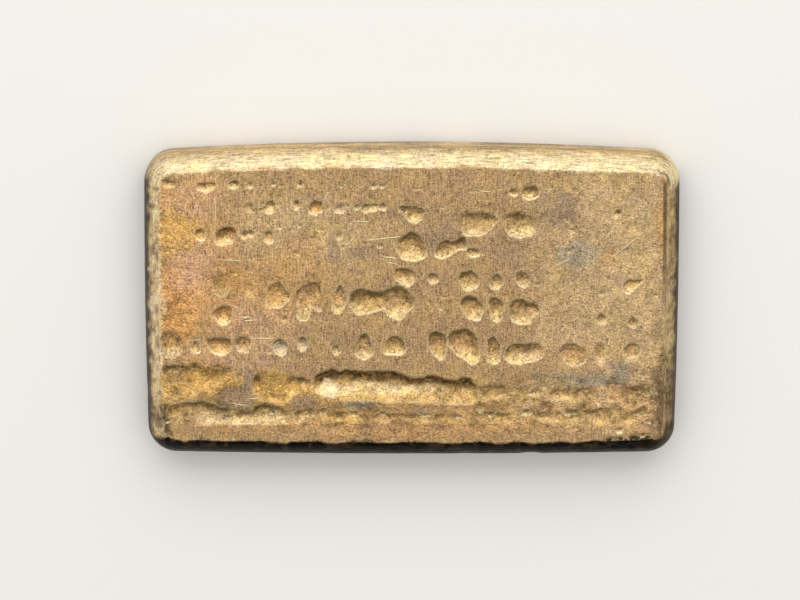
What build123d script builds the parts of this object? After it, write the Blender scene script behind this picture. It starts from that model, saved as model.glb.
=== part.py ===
"""A small poured metal ingot: one solid casting that was pressed flat on its pour face.

The metal was poured into an open mould, so the walls have draft and the long sides bow out. The pour face
froze in rows of cooling ripples with a round shoulder along its edges. A press then flattened that face: it
left a crisp crease at the shoulder, and the low spots of the ripples stayed behind as rows of pits and long
troughs.

Millimetres. The ingot lies on its mould face with the pressed pour face up. The origin is the centre of the
mould face, +X runs along the length, and +Z points out of the pressed face.
"""

import math
import os

from build123d import *

# The casting
LENGTH = 80.0  # over the end walls, where the casting is longest
WIDTH = 47.7  # over the long sides at mid length, where they bow out most
THICKNESS = 8.2  # from the mould face to the pressed face
UPPER_BOW = 1.3  # how far the long side at +Y bulges past its own corners
LOWER_BOW = 0.45  # the same at -Y, where the mould was straighter
END_BOW = 0.25  # how far each end wall bulges past its own corners
CORNER_RADIUS = 4.4  # upright corners, where the casting is widest
DRAFT_DEGREES = 2.0  # lets the casting drop out of the mould
MOULD_EDGE_RADIUS = 1.3  # between the walls and the mould face

# The pour face
SHOULDER_RADIUS = 4.0  # the rounded edge that the metal froze with
PRESSED_AWAY = 0.3  # how much of the pour face the press took down
PIT_SPAN = 4.0  # length of a large pit
PIT_DEPTH = 0.8
TROUGH_LENGTH = 24.5  # the longest cooling trough, near the lower edge
TROUGH_WIDTH = 4.8
TROUGH_DEPTH = 1.0

# The pits, row by row from the upper edge down. Each is: its place along half the length and across half the
# width, its length and width as shares of a large pit's length, its depth as a share of the full depth, and
# the turn of its length in degrees.
PIT_SHARES = [
    (-0.755, 0.770, 0.70, 0.38, 0.45, 5), (0.449, 0.742, 0.70, 0.52, 0.50, 0),
    (-0.353, 0.637, 0.58, 0.52, 0.45, 0), (-0.150, 0.637, 1.20, 0.42, 0.45, 0),
    (0.005, 0.600, 1.00, 0.60, 0.40, 0),
    (0.250, 0.538, 1.30, 0.95, 0.40, 0), (0.405, 0.530, 1.22, 0.98, 0.45, 0),
    (-0.685, 0.457, 0.85, 0.74, 0.70, 15), (0.003, 0.395, 1.15, 1.08, 1.00, 90),
    (0.125, 0.370, 0.75, 0.68, 0.75, 90), (0.190, 0.405, 0.60, 0.40, 0.55, 30),
    (-0.017, 0.195, 0.85, 0.72, 0.60, 0), (0.220, 0.168, 0.80, 0.78, 0.60, 0),
    (0.321, 0.168, 0.65, 0.55, 0.50, 90), (0.416, 0.174, 0.68, 0.55, 0.45, 90),
    (0.830, 0.124, 0.75, 0.50, 0.45, 10), (-0.703, -0.055, 0.88, 0.85, 0.75, 90),
    (-0.491, 0.080, 1.08, 0.85, 0.40, 90), (-0.378, 0.060, 1.15, 0.95, 0.45, 60),
    (-0.265, 0.052, 1.18, 0.52, 0.50, 90), (-0.175, 0.032, 1.15, 1.05, 0.85, 0),
    (-0.035, 0.025, 1.22, 1.15, 0.95, 25), (0.230, -0.004, 0.95, 0.80, 0.75, 105),
    (0.321, -0.015, 0.95, 0.58, 0.60, 100), (0.415, -0.035, 1.10, 1.00, 0.80, 0),
    (-0.880, -0.240, 1.00, 0.80, 0.50, -60), (-0.802, -0.248, 0.65, 0.40, 0.50, 90),
    (-0.711, -0.255, 0.92, 0.70, 0.70, 0), (-0.485, -0.258, 0.73, 0.60, 0.50, 110),
    (-0.403, -0.237, 0.62, 0.50, 0.45, 90),
    (-0.170, -0.258, 1.10, 0.68, 0.60, 90), (-0.059, -0.250, 0.83, 0.70, 0.80, 0),
    (0.100, -0.250, 1.15, 0.70, 0.70, 100), (0.200, -0.250, 1.42, 1.10, 1.00, 120),
    (0.311, -0.281, 1.07, 0.52, 0.60, 92), (0.395, -0.300, 0.92, 0.85, 0.65, 0),
    (0.468, -0.288, 0.80, 0.78, 0.60, 0), (0.610, -0.325, 1.10, 0.70, 0.50, -25),
    (0.828, -0.302, 0.67, 0.60, 0.45, 90),
]

# The cooling troughs below them, in the same order: place, then length, width and depth as shares of the
# longest trough's own, then the turn in degrees.
TROUGH_SHARES = [
    (-0.782, -0.488, 0.47, 0.95, 0.60, -2), (-0.482, -0.545, 0.36, 0.85, 0.70, 0),
    (-0.058, -0.515, 1.00, 1.00, 1.00, -2.5), (0.600, -0.580, 0.86, 0.48, 0.35, -1),
    (-0.660, -0.700, 0.66, 0.60, 0.45, -2), (-0.180, -0.730, 0.88, 0.45, 0.35, 0),
    (0.380, -0.725, 0.88, 0.42, 0.30, 1), (0.800, -0.715, 0.28, 0.42, 0.30, 0),
]


def wall_outline(length, width, corner_radius):
    """Draws the outline of the walls: four bowed sides that meet in rounded corners."""
    corner_x = length / 2 - END_BOW
    upper_y = width / 2 - UPPER_BOW
    lower_y = LOWER_BOW - width / 2
    with BuildSketch(Plane.XY) as outline:
        with BuildLine():
            SagittaArc((-corner_x, lower_y), (corner_x, lower_y), -LOWER_BOW)
            SagittaArc((corner_x, lower_y), (corner_x, upper_y), -END_BOW)
            SagittaArc((corner_x, upper_y), (-corner_x, upper_y), -UPPER_BOW)
            SagittaArc((-corner_x, upper_y), (-corner_x, lower_y), -END_BOW)
        make_face()
        fillet(outline.vertices(), corner_radius)
    return outline.sketch


def hollow(place_x, place_y, length, width, depth, turn_degrees):
    """Makes the cutter of a hollow with a round section: a spindle with its axis above the pressed face."""
    round_radius = (width * width / 4 + depth * depth) / (2 * depth)
    spindle_half_length = length * round_radius / width
    turn = math.radians(turn_degrees)
    along = Vector(math.cos(turn), math.sin(turn), 0)
    sideways = Vector(math.sin(turn), -math.cos(turn), 0)
    middle = Vector(place_x, place_y, THICKNESS + round_radius - depth)
    with BuildPart() as spindle:
        with BuildSketch(Plane(origin=middle, x_dir=along, z_dir=sideways)):
            with BuildLine():
                EllipticalCenterArc((0, 0), spindle_half_length, round_radius, start_angle=180, arc_size=180)
                Line((-spindle_half_length, 0), (spindle_half_length, 0))
            make_face()
        revolve(axis=Axis(middle, along))
    return spindle.part


with BuildPart() as ingot:
    # The casting as it left the mould, before the press; it is widest where the shoulder turns upright
    draft = math.radians(DRAFT_DEGREES)
    poured_height = THICKNESS + PRESSED_AWAY
    shoulder_inset = SHOULDER_RADIUS * (math.tan(draft) + 1 / math.cos(draft) - 1)
    floor_inset = poured_height * math.tan(draft) - shoulder_inset
    with BuildSketch(Plane.XY):
        add(wall_outline(LENGTH - 2 * floor_inset, WIDTH - 2 * floor_inset, CORNER_RADIUS - floor_inset))
    extrude(amount=poured_height, taper=-DRAFT_DEGREES)
    fillet(ingot.faces().sort_by(Axis.Z)[-1].edges(), SHOULDER_RADIUS)
    fillet(ingot.faces().sort_by(Axis.Z)[0].edges(), MOULD_EDGE_RADIUS)
    # The press flattens the pour face
    split(bisect_by=Plane.XY.offset(THICKNESS), keep=Keep.BOTTOM)
    # What it didn't reach: the pits in their rows and the troughs
    for along_share, across_share, length_share, width_share, depth_share, turn_degrees in PIT_SHARES:
        place_x, place_y = along_share * LENGTH / 2, across_share * WIDTH / 2
        span, breadth, depth = length_share * PIT_SPAN, width_share * PIT_SPAN, depth_share * PIT_DEPTH
        add(hollow(place_x, place_y, span, breadth, depth, turn_degrees), mode=Mode.SUBTRACT)
    for along_share, across_share, length_share, width_share, depth_share, turn_degrees in TROUGH_SHARES:
        place_x, place_y = along_share * LENGTH / 2, across_share * WIDTH / 2
        span, breadth = length_share * TROUGH_LENGTH, width_share * TROUGH_WIDTH
        depth = depth_share * TROUGH_DEPTH
        add(hollow(place_x, place_y, span, breadth, depth, turn_degrees), mode=Mode.SUBTRACT)

ingot.part.label = "ingot"
os.makedirs("parts", exist_ok=True)
export_step(ingot.part, "parts/ingot.step")
size = ingot.part.bounding_box().size
print(f"{ingot.part.label}: {ingot.part.volume / 1000:.2f} cubic centimetres, {size}")
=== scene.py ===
# %% [markdown]
# # A pressed and toned metal ingot
# The object is one small casting. Metal was poured into an open mould, it froze with round shoulders and
# rows of cooling ripples, and a press flattened its upper face. The CAD model gives the section, the bow of
# the sides and the main pits. This lesson dresses it: one closed mesh with every pit, trough and dent, and
# one toned metal. The mesh is worked out in millimetres and turned to metres once, when it is made.

import math

import bpy
import numpy as np
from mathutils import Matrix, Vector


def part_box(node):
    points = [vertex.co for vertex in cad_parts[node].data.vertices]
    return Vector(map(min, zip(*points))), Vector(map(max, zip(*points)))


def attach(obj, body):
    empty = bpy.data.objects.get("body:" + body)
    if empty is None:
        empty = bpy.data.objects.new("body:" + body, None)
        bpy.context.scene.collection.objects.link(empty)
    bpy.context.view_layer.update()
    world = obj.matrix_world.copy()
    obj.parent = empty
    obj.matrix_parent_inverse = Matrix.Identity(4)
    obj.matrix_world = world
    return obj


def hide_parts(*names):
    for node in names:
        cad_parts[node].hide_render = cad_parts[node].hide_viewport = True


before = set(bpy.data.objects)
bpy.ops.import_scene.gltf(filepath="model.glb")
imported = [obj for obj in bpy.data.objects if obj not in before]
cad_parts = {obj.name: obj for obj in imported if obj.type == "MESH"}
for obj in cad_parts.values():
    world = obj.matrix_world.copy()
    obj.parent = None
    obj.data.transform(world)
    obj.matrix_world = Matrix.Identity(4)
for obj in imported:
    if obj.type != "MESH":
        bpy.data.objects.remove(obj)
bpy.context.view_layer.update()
MM = 0.001
ingot_low, ingot_high = (np.array(corner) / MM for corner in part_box("ingot"))
LENGTH, WIDTH, THICKNESS = ingot_high - ingot_low
print("ingot", LENGTH.round(2), WIDTH.round(2), THICKNESS.round(2))

# %% [markdown]
# ## Random, but the same each time
# Cast metal is uneven at every size, so nearly every shape below is bent by noise. A table of random
# numbers on a lattice, blended smoothly between its points, is enough, and a fixed seed gives the same
# casting on each run. The noise is in three dimensions, so it runs over an edge without a seam.

# %% Lattice noise
LATTICE = 64


def lattice_noise(points, spacing, seed):
    """Smooth noise from -1 to 1 at points in millimetres, with lumps about as far apart as spacing."""
    table = np.random.default_rng(seed).uniform(-1, 1, (LATTICE, LATTICE, LATTICE))
    place = np.asarray(points, float) / spacing
    cell = np.floor(place).astype(int)
    part = place - cell
    blend = part * part * (3 - 2 * part)
    total = np.zeros(len(place))
    for corner in np.ndindex(2, 2, 2):
        weight = np.prod(np.where(np.array(corner) == 1, blend, 1 - blend), axis=1)
        index = (cell + np.array(corner)) % LATTICE
        total += weight * table[index[:, 0], index[:, 1], index[:, 2]]
    return total


def rough_noise(points, spacing, seed, layers=3):
    """Lattice noise with finer layers on it, each half as large and half as strong."""
    total = sum(lattice_noise(points, spacing / 2**n, seed + n) / 2**n for n in range(layers))
    return total / sum(1 / 2**n for n in range(layers))


def smooth_step(value, low, high):
    """Goes from 0 at low to 1 at high with no corner."""
    share = np.clip((value - low) / (high - low), 0, 1)
    return share * share * (3 - 2 * share)


print("noise", lattice_noise([[1.0, 2.0, 3.0]], 1.7, 5).round(3))

# %% [markdown]
# ## The outline of the mould
# Seen from above the ingot is a rectangle with round corners. Its upper long side bulges by more than a
# millimetre and the lower one by less than half of that. A bowed side is a flat arc, and a corner is a
# fillet between two of them. Here the outline is a list of points, each with the direction that points
# straight out of the wall, so that every level of the section can be drawn by moving the same points
# inward.

# %% Outline of the widest level
BOWS, END_BOW = np.array([0.45, 1.3]), 0.25  # of the lower and the upper long side, and of both ends
CORNER_RADIUS = 4.4
COLUMNS, ROWS = 324, 180  # cells of the pressed face


def arc_radius(half_chord, bow):
    """The radius of a flat arc over a chord, from half the chord and how far the arc stands out."""
    return (half_chord * half_chord + bow * bow) / (2 * bow)


half_x, half_y = LENGTH / 2 - END_BOW, WIDTH / 2 - BOWS.mean()
SIDE_RADIUS, END_RADIUS = arc_radius(half_x, BOWS), arc_radius(half_y, END_BOW)
side_centre, end_centre = WIDTH / 2 - SIDE_RADIUS, LENGTH / 2 - END_RADIUS
# The arcs of the ends have their middle a little below the origin, so the half sides differ in length
end_middle = (BOWS[1] - BOWS[0]) / 2 * np.array([1, -1])
corner_x, corner_y = half_x - CORNER_RADIUS, WIDTH / 2 - BOWS - CORNER_RADIUS
for _ in range(20):  # the fillet's centre lies one corner radius inside both arcs
    corner_y = side_centre + np.sqrt((SIDE_RADIUS - CORNER_RADIUS) ** 2 - corner_x**2)
    corner_x = end_centre + np.sqrt((END_RADIUS - CORNER_RADIUS) ** 2 - (corner_y - end_middle) ** 2)
side_turn = np.arctan2(corner_x, corner_y - side_centre)
end_turn = np.arctan2(corner_y - end_middle, corner_x - end_centre)
half_corner = (math.pi / 2 - side_turn - end_turn) / 2
print("corner centres", corner_x.round(3), corner_y.round(3), "mm")


def half_side(share, half, radius, centre, turn, centre_along, centre_out, middle=0.0):
    """Half a side, from level with the origin to half way round its corner: along, out, and the turn."""
    start = np.arcsin(-middle / radius)
    arc = radius * (turn[half] - start)
    run = share * (arc + CORNER_RADIUS * half_corner[half])
    on_arc = run <= arc
    angle = np.where(on_arc, start + run / radius, turn[half] + (run - arc) / CORNER_RADIUS)
    sine, cosine = np.sin(angle), np.cos(angle)
    along = np.where(on_arc, middle + radius * sine, centre_along[half] + CORNER_RADIUS * sine)
    out = np.where(on_arc, centre + radius * cosine, centre_out[half] + CORNER_RADIUS * cosine)
    return along, out, angle


def outline_points(u, v):
    """Points and outward directions on the outline, for places u, v on the border of a square."""
    on_long, half = np.abs(np.abs(v) - 1) < 1e-9, (v >= 0).astype(int)
    along, out, angle = half_side(
        np.abs(u), half, SIDE_RADIUS[half], side_centre[half], side_turn, corner_x, corner_y
    )
    along_end, out_end, angle_end = half_side(
        np.abs(v), half, END_RADIUS, end_centre, end_turn, corner_y, corner_x, end_middle[half]
    )
    x, y = np.where(on_long, along, out_end), np.where(on_long, out, along_end)
    nx = np.where(on_long, np.sin(angle), np.cos(angle_end))
    ny = np.where(on_long, np.cos(angle), np.sin(angle_end))
    signs = np.stack([np.where(u < 0, -1, 1), np.where(v < 0, -1, 1)], 1)
    return np.stack([x, y], 1) * signs, np.stack([nx, ny], 1) * signs


def from_corner(x, y):
    """Places of points as seen from the nearest corner's centre, both positive beyond it."""
    half = (y >= 0).astype(int)
    return np.abs(x) - corner_x[half], np.abs(y) - corner_y[half]


def inset_of(x, y):
    """How far a point lies inside the widest outline."""
    half = (y >= 0).astype(int)
    side = SIDE_RADIUS[half] - np.hypot(x, np.abs(y) - side_centre[half])
    end = END_RADIUS - np.hypot(np.abs(x) - end_centre, np.abs(y) - end_middle[half])
    past_x, past_y = from_corner(x, y)
    corner = CORNER_RADIUS - np.hypot(past_x, past_y)
    return np.where((past_x > 0) & (past_y > 0), corner, np.minimum(side, end))


def shares(count, first_step):
    """Even shares from -1 to 1 with one short step at each end, which keeps the crease crisp."""
    middle = np.linspace(-1 + 2 / count, 1 - 2 / count, count - 3)
    return np.concatenate([[-1, -1 + first_step], middle, [1 - first_step, 1]])


STEP_ALONG, STEP_ACROSS = 0.002, 0.0035  # the short steps at the ends
along_shares, across_shares = shares(COLUMNS, STEP_ALONG), shares(ROWS, STEP_ACROSS)
border_u = np.concatenate([along_shares[:-1], np.ones(ROWS), along_shares[:0:-1], -np.ones(ROWS)])
border_v = np.concatenate([-np.ones(COLUMNS), across_shares[:-1], np.ones(COLUMNS), across_shares[:0:-1]])
wall_points, wall_out = outline_points(border_u, border_v)
AROUND = len(wall_points)
print("outline", AROUND, "points,", np.ptp(wall_points, axis=0).round(2), "mm")

# %% [markdown]
# ## The section
# From the pressed face outward, the section is a round shoulder, a wall with a little draft, and a small
# round edge to the flat mould face. The press cut the top off the shoulder, so the shoulder meets the face
# in a crease and not smoothly. It could be a bevel modifier, but the crease and the wall need different
# spacing of their rows, so the section is written as a list of (inset, height, how it leans) and swept
# round the outline.

# %% Section rows
SHOULDER_RADIUS, PRESSED_AWAY, DRAFT, MOULD_EDGE = 4.0, 0.3, math.radians(2), 1.3
FLAT_RING, RING_WIDTH = 0.3, 0.7  # on the mould face: the last row, and the ring from fine to coarse cells
crease_turn = math.acos((SHOULDER_RADIUS - PRESSED_AWAY) / SHOULDER_RADIUS)
CREASE_INSET = SHOULDER_RADIUS * (1 - math.sin(crease_turn))
SHOULDER_HEIGHT = THICKNESS + PRESSED_AWAY - SHOULDER_RADIUS
wall_turn = math.pi / 2 + DRAFT


def section_rows():
    """Inset, height and turn of the normal from straight up, for each row under the crease."""
    turns = [crease_turn + math.radians(1.2), crease_turn + math.radians(4)]
    turns += list(np.linspace(crease_turn + math.radians(8), wall_turn, 12))
    rows = [
        (SHOULDER_RADIUS * (1 - math.sin(turn)), SHOULDER_HEIGHT + SHOULDER_RADIUS * math.cos(turn), turn)
        for turn in turns
    ]
    inset, height, _ = rows[-1]
    for z in np.linspace(height, MOULD_EDGE, 7)[1:]:
        rows.append((inset + (height - z) * math.tan(DRAFT), z, wall_turn))
    inset = rows[-1][0]
    for turn in np.linspace(wall_turn, math.pi, 7)[1:]:
        height = MOULD_EDGE + MOULD_EDGE * math.cos(turn)
        rows.append((inset + MOULD_EDGE * (1 - math.sin(turn)), height, turn))
    rows.append((rows[-1][0] + FLAT_RING, 0.0, math.pi))
    return rows


ROWS_UNDER = section_rows()
print("crease at", round(CREASE_INSET, 2), "mm,", len(ROWS_UNDER), "rows under it")

# %% [markdown]
# ## The grid of the pressed face
# The face is a grid of cells a quarter of a millimetre wide, which is the height of its thinnest pits. Its
# border has to follow the round corners, so the grid is a Coons patch: each inner point is blended from the
# four border curves.

# %% Face grid
def patch_grid(border, s, t):
    """Fills a closed border, which starts at its lower left corner, with a grid of points, row by row."""
    columns, rows = len(s) - 1, len(t) - 1
    south, east = border[: columns + 1], border[columns : columns + rows + 1]
    north = border[columns + rows : 2 * columns + rows + 1][::-1]
    west = np.concatenate([border[2 * columns + rows :], border[:1]])[::-1]
    s, t = ((s + 1) / 2)[None, :, None], ((t + 1) / 2)[:, None, None]
    ruled_y = (1 - t) * south[None] + t * north[None]
    ruled_x = (1 - s) * west[:, None] + s * east[:, None]
    lower = (1 - s) * (1 - t) * south[0] + s * (1 - t) * south[-1]
    return ruled_x + ruled_y - (lower + (1 - s) * t * north[0] + s * t * north[-1])


def border_of(columns, rows):
    """The indexes of a grid's border points, in turn from its first corner."""
    return np.concatenate([
        np.arange(columns),
        columns + np.arange(rows) * (columns + 1),
        rows * (columns + 1) + np.arange(columns, 0, -1),
        np.arange(rows, 0, -1) * (columns + 1),
    ])


face_grid = patch_grid(wall_points - wall_out * CREASE_INSET, along_shares, across_shares)
face_xy = face_grid.reshape(-1, 2)
face_3d = np.column_stack([face_xy, np.full(len(face_xy), THICKNESS)])
print("face grid", face_grid.shape[:2], "land", np.ptp(face_xy, axis=0).round(2), "mm")

# %% [markdown]
# ## The pits
# A pit is a low spot of the frozen ripples that the press didn't reach. So the face can be made as it
# really was: first the raw surface with its hollows, and then everything above one plane is cut off. That
# gives each pit a crisp edge where the plane meets it. A pit is deeper towards its upper edge, where a
# ripple overhung. Small pits are ovals, listed in rows from the upper edge down: place, length, height, a
# share for the depth, and the turn if there is one. Large ones ran together and have outlines of their own.

# %% The table of pits
TABLE_ZERO = (0.0, 0.85)  # the table is measured from this point of the face, in millimetres
SMALL_PITS = {
    "first row under the upper edge": [
        (-36.0, 18.0, 2.4, 1.2, 0.8, -5), (-22.2, 17.6, 0.6, 0.3, 0.8), (-20.5, 18.0, 1.0, 0.7, 1.0),
        (-19.4, 17.9, 0.8, 0.3, 0.6), (-16.4, 18.0, 0.8, 1.0, 1.2), (-13.3, 17.9, 2.2, 0.25, 0.6, -3),
        (-10.5, 17.8, 0.7, 0.5, 1.0), (-7.5, 17.7, 0.4, 0.4, 1.0), (-5.7, 17.8, 0.9, 0.7, 1.1),
        (-4.3, 17.8, 1.1, 0.5, 1.1), (0.9, 17.4, 2.4, 0.5, 0.6, -4), (9.5, 17.1, 2.8, 0.4, 0.6, -3),
        (13.0, 17.3, 0.5, 0.5, 0.9), (20.2, 17.3, 0.4, 0.4, 1.0), (24.3, 17.2, 1.0, 0.3, 0.6),
        (27.25, 15.9, 0.35, 0.35, 1.0), (25.3, 14.2, 0.4, 0.3, 1.0),
    ],
    "second row, with its chain of small round pits": [
        (-27.7, 14.0, 0.35, 0.35, 1.0), (-26.2, 14.3, 0.4, 0.8, 1.0), (-22.5, 14.0, 4.6, 0.5, 0.4),
        (-22.4, 14.7, 0.4, 0.4, 1.0), (-19.6, 14.9, 0.6, 0.6, 0.8), (-17.0, 14.7, 1.0, 1.5, 1.2),
        (-9.4, 14.7, 0.8, 0.4, 0.7), (-8.2, 14.4, 1.0, 0.9, 1.2), (-6.9, 14.3, 1.3, 1.2, 1.2),
        (-5.6, 14.4, 1.2, 1.2, 1.2), (-4.4, 14.5, 1.1, 1.2, 1.2), (4.6, 14.4, 0.6, 0.35, 0.8),
        (5.4, 13.8, 0.5, 0.35, 0.8), (5.6, 12.5, 0.4, 0.35, 0.8), (7.3, 14.3, 0.5, 0.4, 0.8),
        (21.3, 11.4, 0.6, 0.4, 0.8), (23.7, 10.9, 1.1, 1.0, 0.9), (23.1, 12.7, 0.4, 1.2, 0.8, 40),
        (30.4, 13.4, 1.0, 1.6, 1.5, -35), (29.0, 11.6, 2.0, 0.35, 0.5),
    ],
    "third row, with the deepest pit": [
        (-34.6, 11.2, 4.4, 4.0, 0.12), (-24.9, 10.2, 1.0, 1.2, 1.1), (-23.9, 10.4, 0.9, 1.1, 1.1),
        (-19.6, 11.5, 0.7, 0.6, 0.9), (-16.6, 11.7, 0.6, 0.6, 0.9), (-14.3, 10.0, 3.2, 4.0, 0.18),
        (-17.2, 7.3, 1.2, 1.0, 0.5), (-10.8, 10.0, 1.0, 1.2, 0.8), (-10.2, 8.4, 0.6, 0.5, 0.8),
        (-6.7, 9.0, 1.6, 0.5, 0.4), (-4.7, 8.6, 0.8, 0.7, 0.8), (-5.8, 8.0, 0.35, 2.2, 0.6),
        (10.6, 7.3, 0.35, 0.35, 1.0), (23.5, 7.9, 0.8, 1.0, 0.9), (25.0, 7.5, 1.4, 0.9, 0.3),
        (28.8, 7.3, 1.6, 2.4, 0.2),
    ],
    "fourth row": [
        (3.2, 3.6, 1.7, 1.8, 0.9), (18.7, 2.7, 1.0, 0.7, 0.7), (20.9, 4.3, 1.0, 0.3, 0.6, 10),
        (22.1, 4.7, 0.8, 0.3, 0.6), (36.3, 1.0, 0.7, 0.7, 0.9), (28.4, 1.3, 1.5, 0.8, 0.8),
        (4.6, 0.8, 1.2, 0.35, 0.7), (4.4, -0.9, 0.7, 0.5, 1.0),
    ],
    "fifth row, the largest pits": [
        (-28.4, 2.5, 2.6, 4.0, 0.4), (-27.6, 3.6, 1.2, 2.4, 0.5, -30), (-24.2, 1.8, 1.3, 3.4, 0.4, 8),
        (-24.9, -2.4, 1.3, 0.3, 0.6), (-24.4, -2.95, 1.7, 0.3, 0.6), (-18.9, -2.8, 0.9, 1.1, 0.8),
        (20.9, -2.2, 0.7, 0.5, 0.9), (28.4, -2.8, 1.5, 1.7, 0.9), (33.0, -3.3, 1.6, 1.8, 0.9),
    ],
    "sixth row": [
        (-21.2, -7.7, 0.7, 0.6, 0.9), (29.2, -6.3, 0.4, 1.2, 1.0, -8),
    ],
    "small pits below the long troughs": [
        (18.6, -14.2, 2.0, 1.2, 0.8), (35.5, -13.7, 2.6, 1.8, 0.5), (10.4, -16.6, 0.9, 1.8, 1.0),
        (-22.0, -16.8, 0.9, 0.8, 2.2), (-20.2, -16.8, 0.8, 0.8, 2.2), (-13.2, -17.2, 1.2, 0.8, 2.2),
        (-8.6, -17.5, 1.6, 0.8, 2.2), (-4.3, -17.5, 1.2, 0.6, 2.2), (2.2, -17.7, 2.2, 0.7, 1.8),
        (7.2, -18.0, 1.2, 0.6, 1.8), (12.0, -17.5, 1.4, 0.8, 1.8), (17.4, -17.3, 1.6, 0.9, 1.8),
        (24.0, -17.3, 2.5, 1.0, 1.5), (34.5, -17.4, 2.0, 1.2, 1.2), (-36.7, -18.6, 1.0, 0.8, 1.0),
        (-6.6, -19.7, 0.5, 0.4, 1.0), (-4.0, -19.7, 0.4, 0.4, 1.0), (31.2, -20.0, 1.1, 0.9, 1.1),
        (34.8, -20.8, 1.0, 0.8, 1.0), (35.5, -18.6, 0.9, 0.7, 1.0),
    ],
}
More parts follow.
